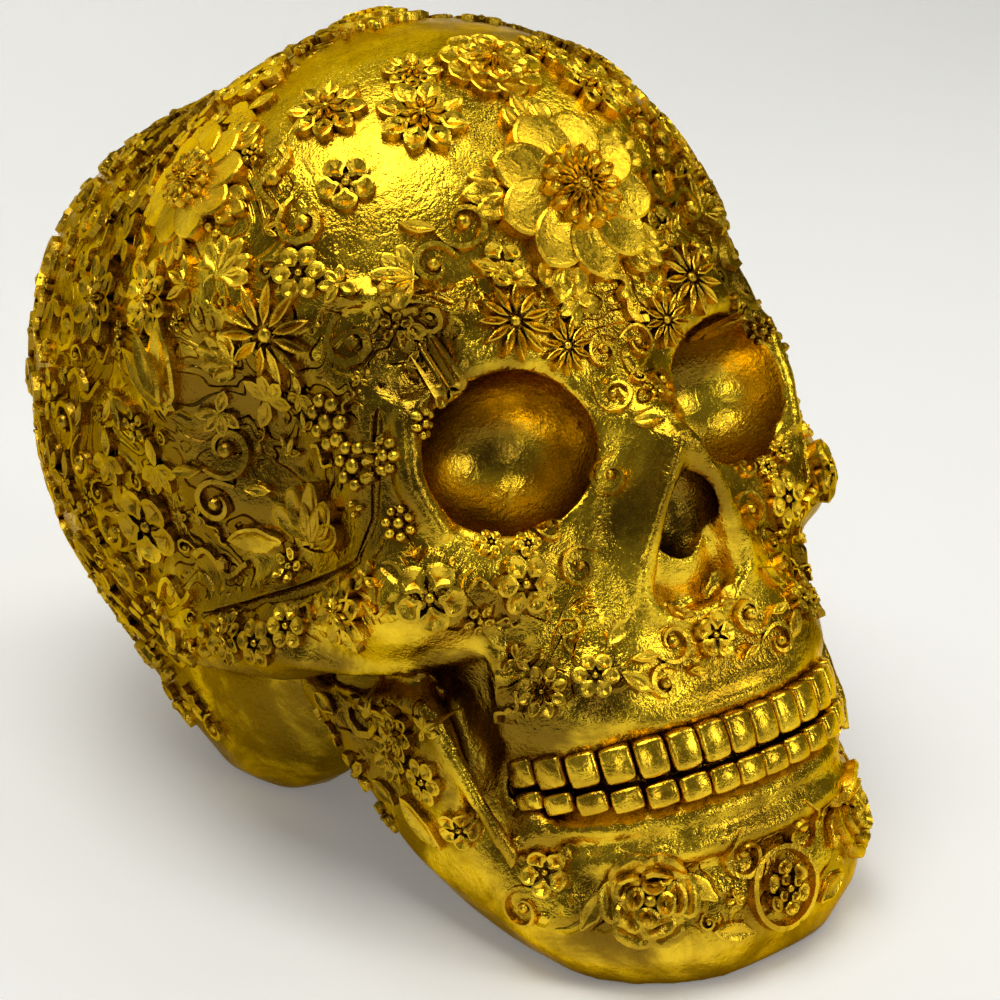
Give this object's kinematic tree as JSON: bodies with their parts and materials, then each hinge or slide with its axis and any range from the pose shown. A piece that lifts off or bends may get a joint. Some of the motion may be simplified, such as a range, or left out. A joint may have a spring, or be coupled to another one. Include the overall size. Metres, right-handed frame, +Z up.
{
  "type": "sugar skull ornament",
  "caption": "Shelf ornament in the shape of a skull with its jaw and teeth, covered with raised flowers and scrolls, that rests on its chin and nape.",
  "frame": {"origin": "on the table, under the middle of the whole ornament", "axes": "+Z up from the table, the face looks along -Y, +X is the skull's own left side"},
  "size_m": [0.1256, 0.1946, 0.1462],
  "materials": {
    "gold_finish": "gold-coloured metallic coat on cast resin, glossy on the high places and dark orange brown in the recesses"
  },
  "bodies": {
    "root": {"cranium": "gold_finish", "jaw": "gold_finish", "upper_teeth": "gold_finish", "lower_teeth": "gold_finish", "forehead_flower": "gold_finish", "crown_flower": "gold_finish", "top_dahlia": "gold_finish", "rear_dahlia": "gold_finish", "chin_medallion": "gold_finish", "upper_daisy_right": "gold_finish", "upper_daisy_left": "gold_finish", "outer_daisy_right": "gold_finish", "outer_daisy_left": "gold_finish", "small_flower_right": "gold_finish", "small_flower_left": "gold_finish", "side_dahlia_right": "gold_finish", "side_dahlia_left": "gold_finish", "temple_flower_right": "gold_finish", "temple_flower_left": "gold_finish", "tulip_leaves_right": "gold_finish", "tulip_leaves_left": "gold_finish", "side_scroll_right": "gold_finish", "side_scroll_left": "gold_finish", "berry_rosette_right": "gold_finish", "berry_rosette_left": "gold_finish", "leaf_fan_right": "gold_finish", "leaf_fan_left": "gold_finish", "back_flower_right": "gold_finish", "back_flower_left": "gold_finish", "low_flower_right": "gold_finish", "low_flower_left": "gold_finish", "back_scroll_right": "gold_finish", "back_scroll_left": "gold_finish", "top_flower_right": "gold_finish", "top_flower_left": "gold_finish", "brow_flower_right": "gold_finish", "brow_flower_left": "gold_finish", "eye_side_flower_right": "gold_finish", "eye_side_flower_left": "gold_finish", "under_eye_flower_right": "gold_finish", "under_eye_flower_left": "gold_finish", "cheek_flower_right": "gold_finish", "cheek_flower_left": "gold_finish", "cheek_daisy_right": "gold_finish", "cheek_daisy_left": "gold_finish", "arch_flower_right": "gold_finish", "arch_flower_left": "gold_finish", "mouth_flower_right": "gold_finish", "mouth_flower_left": "gold_finish", "nose_scroll_right": "gold_finish", "nose_scroll_left": "gold_finish", "lip_scroll_right": "gold_finish", "lip_scroll_left": "gold_finish", "jaw_rose_right": "gold_finish", "jaw_rose_left": "gold_finish", "ramus_flower_right": "gold_finish", "ramus_flower_left": "gold_finish", "ramus_leaf_right": "gold_finish", "ramus_leaf_left": "gold_finish"}
  },
  "joints": []
}
